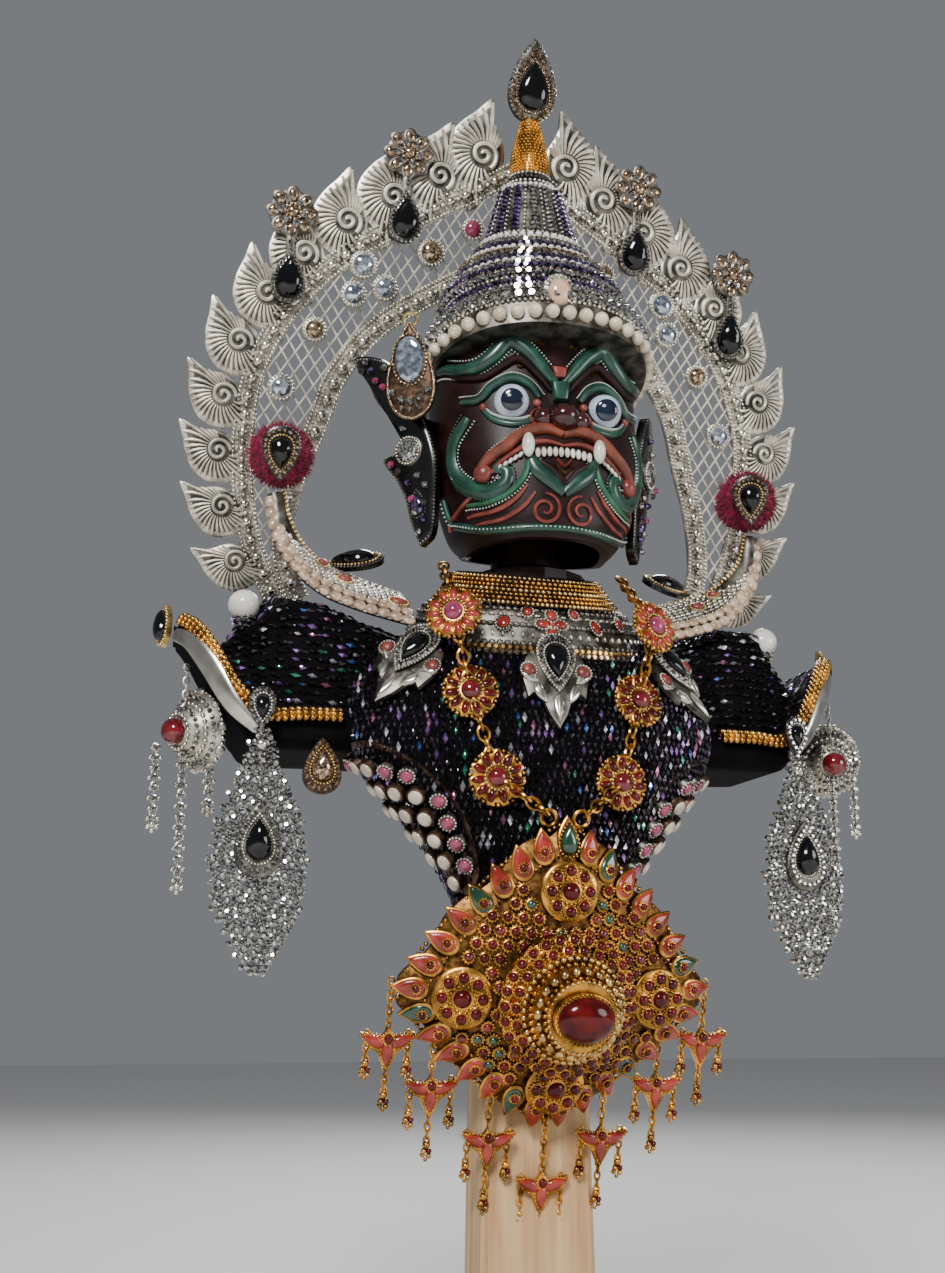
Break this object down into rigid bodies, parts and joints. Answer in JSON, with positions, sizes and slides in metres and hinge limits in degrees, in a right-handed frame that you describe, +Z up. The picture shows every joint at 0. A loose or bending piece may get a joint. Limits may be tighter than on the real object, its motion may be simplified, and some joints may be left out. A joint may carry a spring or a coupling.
{
  "type": "khon mask",
  "caption": "Dressed khon mask on its stand: demon face, tiered crown, halo arch, caped bust with horns and costume jewellery, on a wooden post.",
  "frame": {"origin": "on the base's underside, straight below the middle of the head", "axes": "+Z up, the face looks along -Y, +X is the viewer's right"},
  "size_m": [0.2701, 0.1229, 0.507],
  "materials": {
    "pine": "planed, bare",
    "cape": "black cloth under sequins",
    "lacquer": "dark lacquered paper pulp, gloss",
    "stem": "dark lacquered",
    "silver": "bright plated",
    "dark_silver": "oxidised plate",
    "gold": "gilt",
    "gold_crown": "gilt and silver plate with stones",
    "crystal": "cut stones in plated settings",
    "onyx": "black stones in plated settings",
    "ruby": "dark red domed stone",
    "pearl": "pearl finish",
    "fibre": "magenta fibre"
  },
  "bodies": {
    "root": {"base_block": "pine", "wooden_post": "pine", "bust_body": "cape", "neck_stem": "stem", "mask": "lacquer", "crown": "gold_crown", "crown_gem": "pearl", "halo_pearl_left": "pearl", "halo_pearl_right": "pearl", "stud_panel_left": "pearl", "stud_panel_right": "pearl", "collar": "dark_silver", "ear_guard_left": "dark_silver", "ear_guard_right": "dark_silver", "chest_brooch_centre": "dark_silver", "chest_brooch_left": "dark_silver", "chest_brooch_right": "dark_silver", "neck_chains": "gold", "wing_trim_left": "gold", "wing_trim_right": "gold", "pendant_plate": "gold", "pendant_dome": "gold", "necklace_left": "gold", "necklace_right": "gold", "dangle_centre": "gold", "dangle_left_1": "gold", "dangle_right_1": "gold", "dangle_left_2": "gold", "dangle_right_2": "gold", "dangle_left_3": "gold", "dangle_right_3": "gold", "halo_frame": "silver", "shoulder_horn_left": "silver", "shoulder_horn_right": "silver", "wing_crescent_left": "silver", "wing_crescent_right": "silver", "drop_earring_left": "silver", "drop_earring_right": "silver", "outer_earring_left": "silver", "outer_earring_right": "silver", "halo_apex_jewel": "crystal", "halo_jewel_left_high": "crystal", "halo_jewel_left_low": "crystal", "halo_jewel_right_high": "crystal", "halo_jewel_right_low": "crystal", "ear_pendant_left": "crystal", "horn_cabochon_left": "onyx", "horn_cabochon_right": "onyx", "pompom_brooch_left": "onyx", "pompom_brooch_right": "onyx", "tip_button_left": "onyx", "tip_button_right": "onyx", "small_brooch": "onyx", "pompom_left": "fibre", "pompom_right": "fibre", "pendant_gem": "ruby"}
  },
  "joints": []
}
